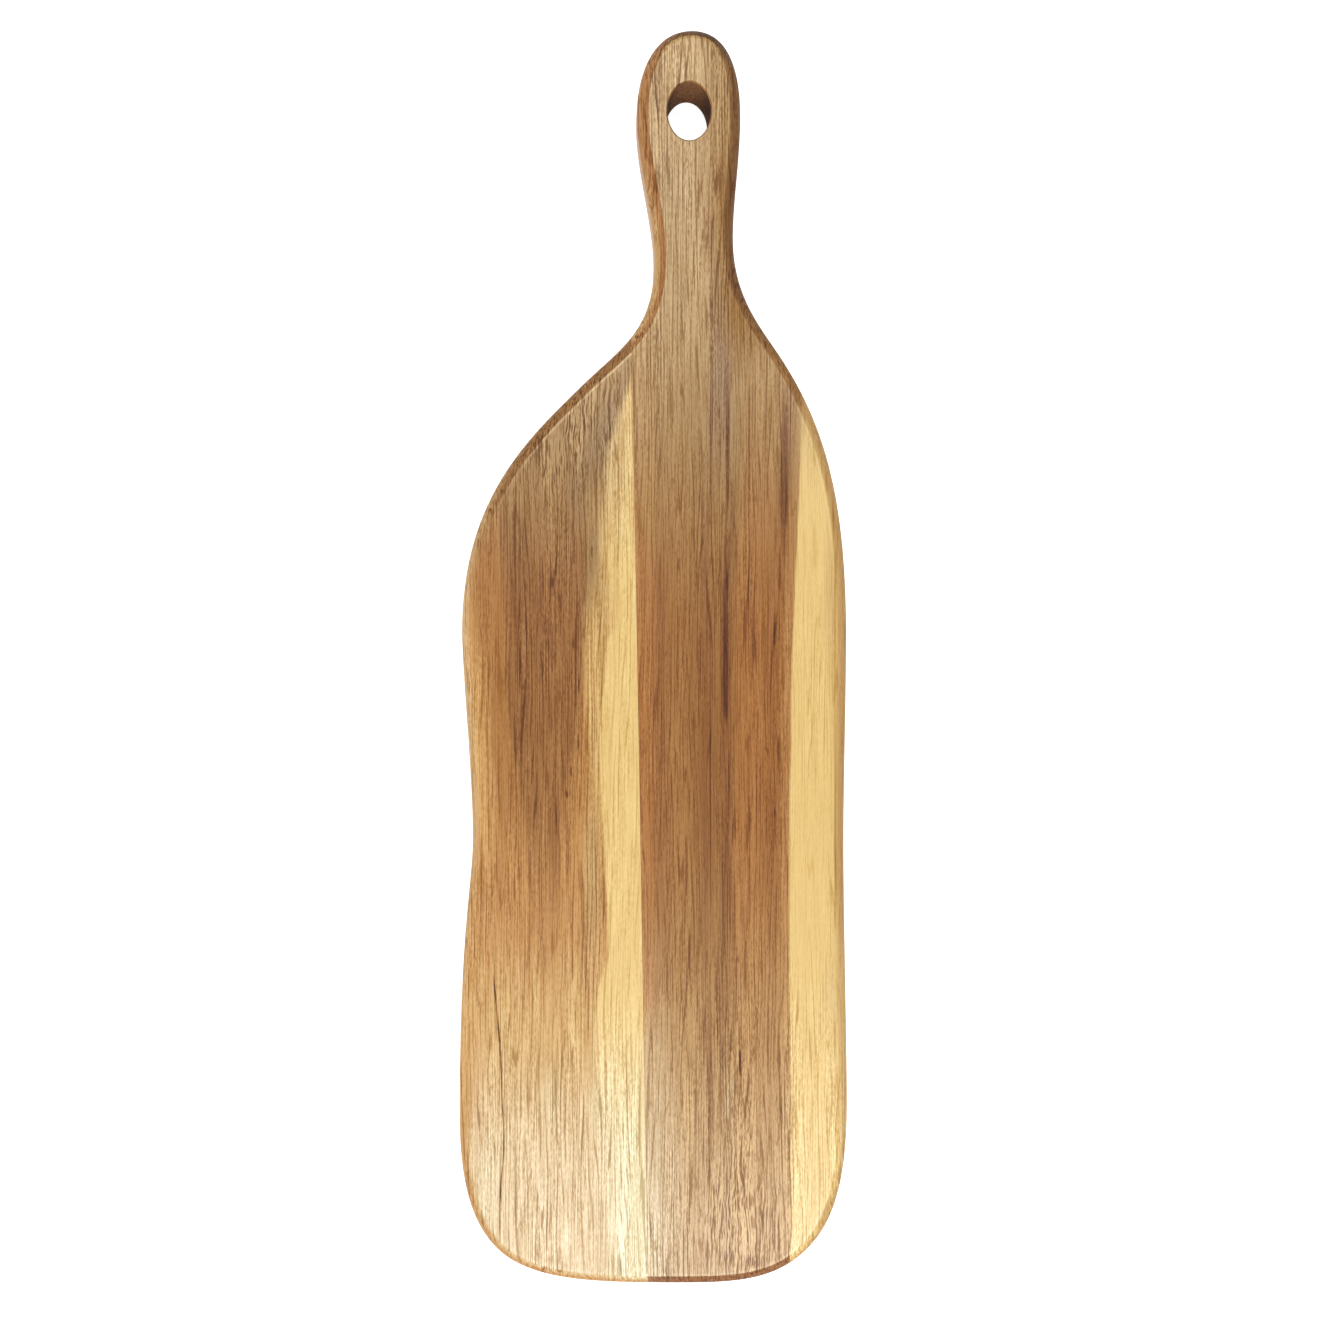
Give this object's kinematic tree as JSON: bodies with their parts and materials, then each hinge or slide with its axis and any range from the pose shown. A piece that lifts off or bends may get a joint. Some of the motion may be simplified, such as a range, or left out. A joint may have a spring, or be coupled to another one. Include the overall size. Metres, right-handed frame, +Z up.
{
  "type": "paddle serving board",
  "caption": "Flat wooden paddle serving board with rounded rims, an edge-glued body with one wavy side, and a slim waisted handle with an oval hanging hole.",
  "frame": {"origin": "under the middle of the board, on the plane of its underside", "axes": "+X across the board to the right, seen from above with the handle away; +Y along the board toward the end of the handle; +Z up, out of the serving face"},
  "size_m": [0.155, 0.5, 0.015],
  "materials": {
    "left_wood": "oiled satin, brown heartwood with a cream sapwood strip",
    "handle_wood": "oiled satin, reddish-brown heartwood with a cream sapwood edge",
    "cured_glue": "thin amber-brown glue film, flush with the wood"
  },
  "bodies": {
    "root": {"left_stave": "left_wood", "handle_stave": "handle_wood", "glue_line": "cured_glue"}
  },
  "joints": []
}
